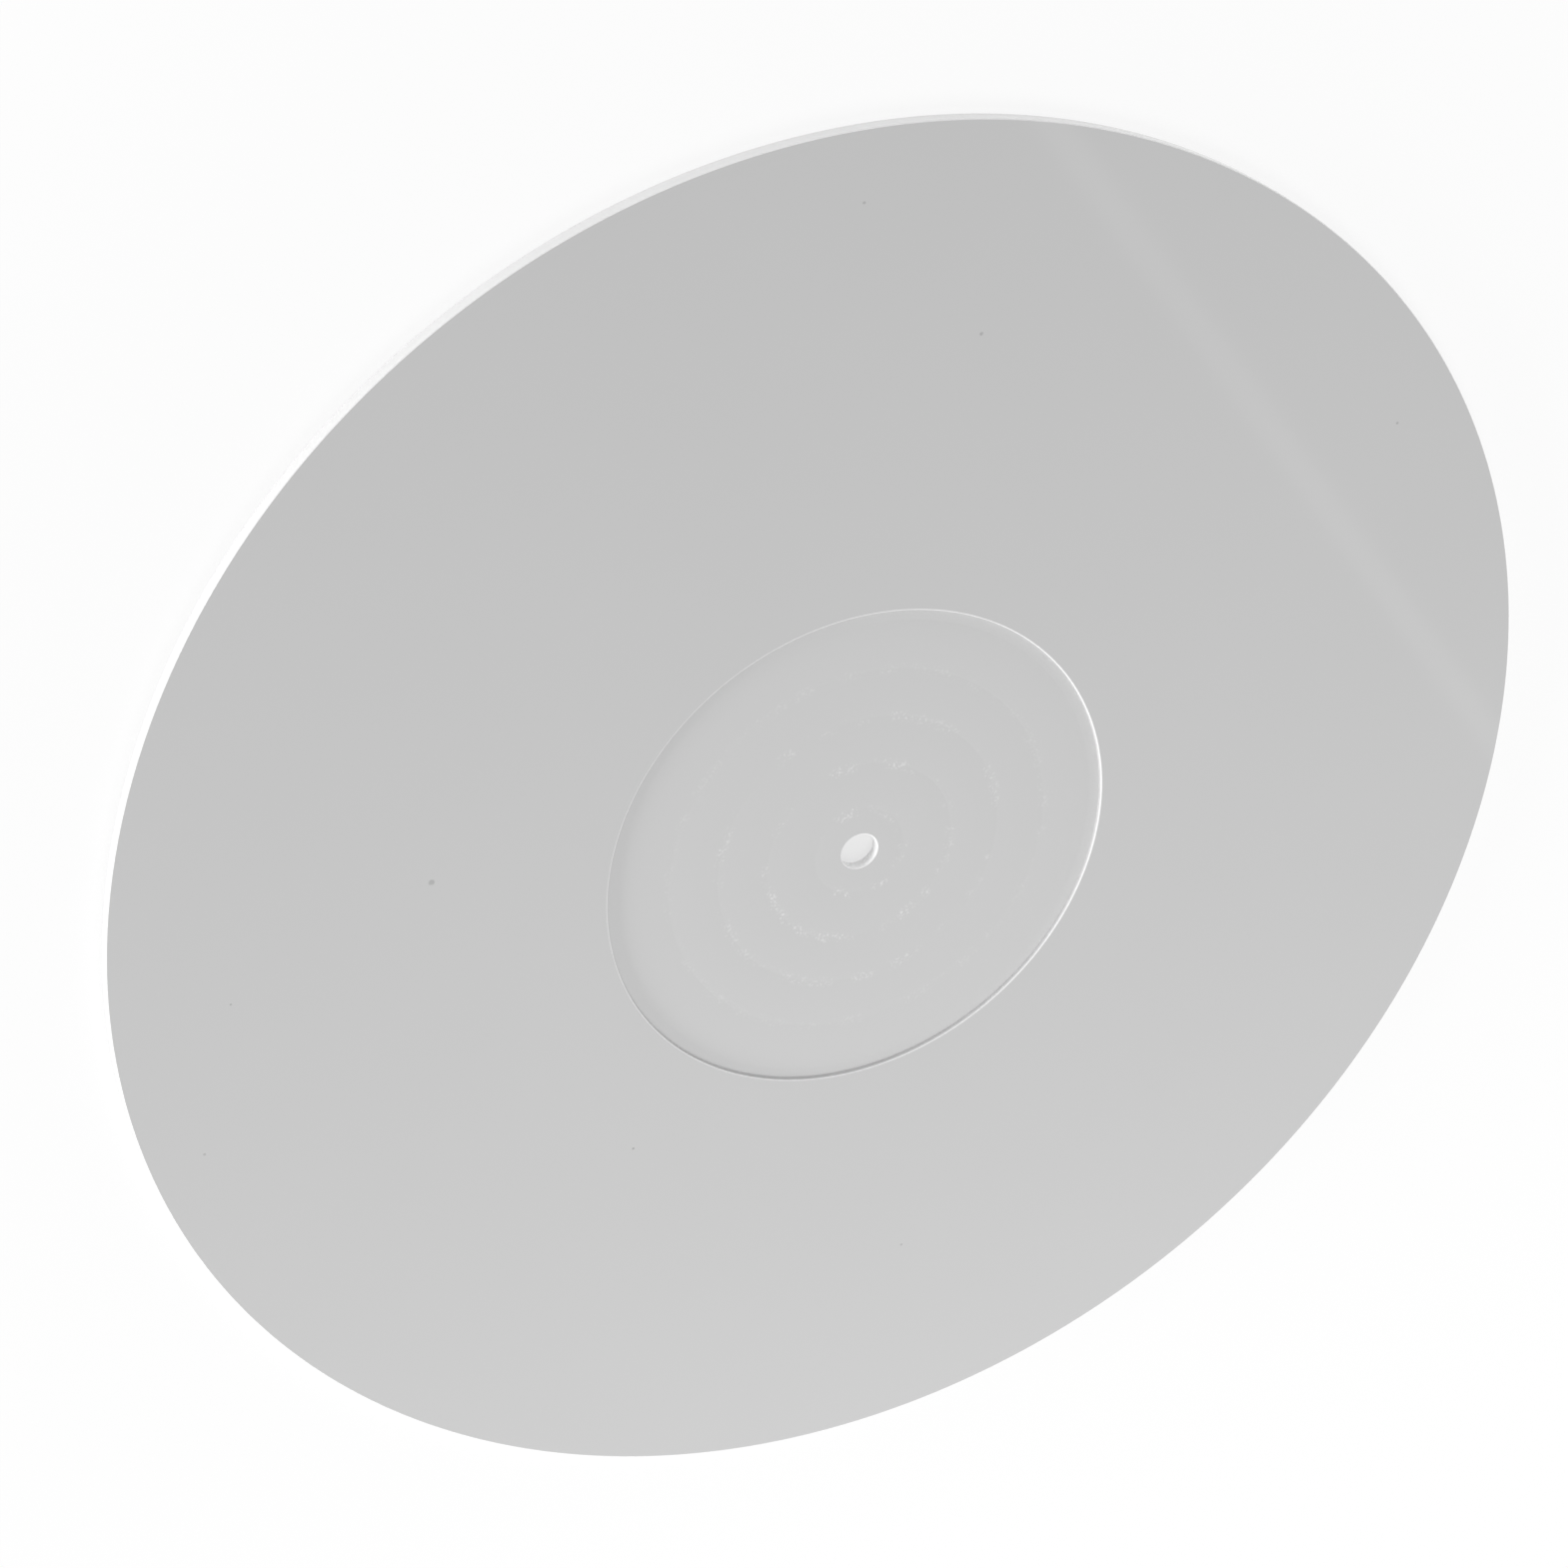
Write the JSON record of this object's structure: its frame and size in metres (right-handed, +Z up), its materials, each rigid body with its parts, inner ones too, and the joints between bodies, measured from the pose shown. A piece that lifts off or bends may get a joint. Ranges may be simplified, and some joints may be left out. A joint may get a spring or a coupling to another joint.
{
  "type": "turntable mat",
  "caption": "Flat round acrylic mat that lies on a record player's platter, with a shallow label recess milled around a central spindle hole.",
  "frame": {"origin": "on the spindle's axis, at the underside of the disc, where it rests on the platter", "axes": "+Z up along the spindle's axis, out of the face that the record lies on; the disc is round, so +X and +Y are free"},
  "size_m": [0.295, 0.295, 0.003],
  "materials": {
    "white_acrylic": "polished top, underside and rim, with the label recess and the hole left satin by the cutter"
  },
  "bodies": {
    "root": {"mat": "white_acrylic"}
  },
  "joints": []
}
